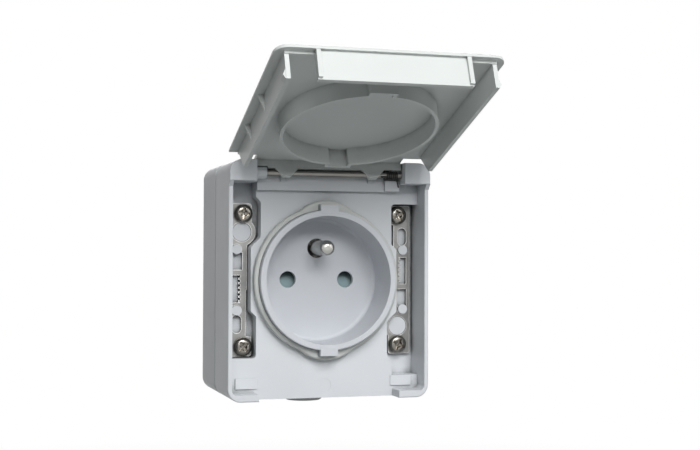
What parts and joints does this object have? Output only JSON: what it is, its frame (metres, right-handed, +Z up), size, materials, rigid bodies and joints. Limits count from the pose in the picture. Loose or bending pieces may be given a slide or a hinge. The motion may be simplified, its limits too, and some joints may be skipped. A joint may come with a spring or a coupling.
{
  "type": "weatherproof wall socket",
  "caption": "Surface-mounted weatherproof socket with a round earthed well, sealed casing, safety shutter and a lid hinged along its top.",
  "frame": {"origin": "centre of the casing's back face, on the wall", "axes": "+X to the right seen from the front, +Y into the wall, +Z up"},
  "size_m": [0.064, 0.1102, 0.1014],
  "materials": {
    "casing": "satin",
    "lid": "satin",
    "insert": "satin",
    "seal": "matte",
    "gasket": "matte",
    "grommet": "matte",
    "strip": "satin",
    "screw": "gloss",
    "rod": "satin",
    "spring": "satin",
    "inner_spring": "satin",
    "pin": "gloss",
    "shutter": "satin",
    "base": "matte",
    "brass": "satin"
  },
  "bodies": {
    "case": {"back_box": "casing", "box_gasket": "gasket", "cable_grommet": "grommet", "wall_seals": "grommet", "front_frame": "casing", "ring_seal": "seal", "support_strip_left": "strip", "support_strip_right": "strip", "frame_screws": "screw", "socket_insert": "insert", "shutter_spring": "inner_spring", "mechanism_base": "base", "base_cover": "base", "mechanism_screws": "screw", "earth_pin": "pin", "earth_strap": "brass", "live_contact_left": "brass", "live_contact_right": "brass", "terminal_plates": "screw", "terminal_screws": "screw", "hinge_rod": "rod", "hinge_spring": "spring"},
    "lid": {"lid": "lid"},
    "shutter": {"shutter": "shutter"}
  },
  "joints": [
    {"name": "lid_hinge", "type": "hinge", "parent": "case", "child": "lid", "pos_m": [0, -0.04426, 0.0328], "axis": [-1, 0, 0], "range_deg": [-110, 8], "deforming": ["hinge_spring"]},
    {"name": "shutter_slide", "type": "slide", "parent": "case", "child": "shutter", "axis": [0, 0, -1], "range_m": [0, 0.006], "stiffness_N_per_m": 60, "springref_m": -0.008, "deforming": ["shutter_spring"]}
  ]
}
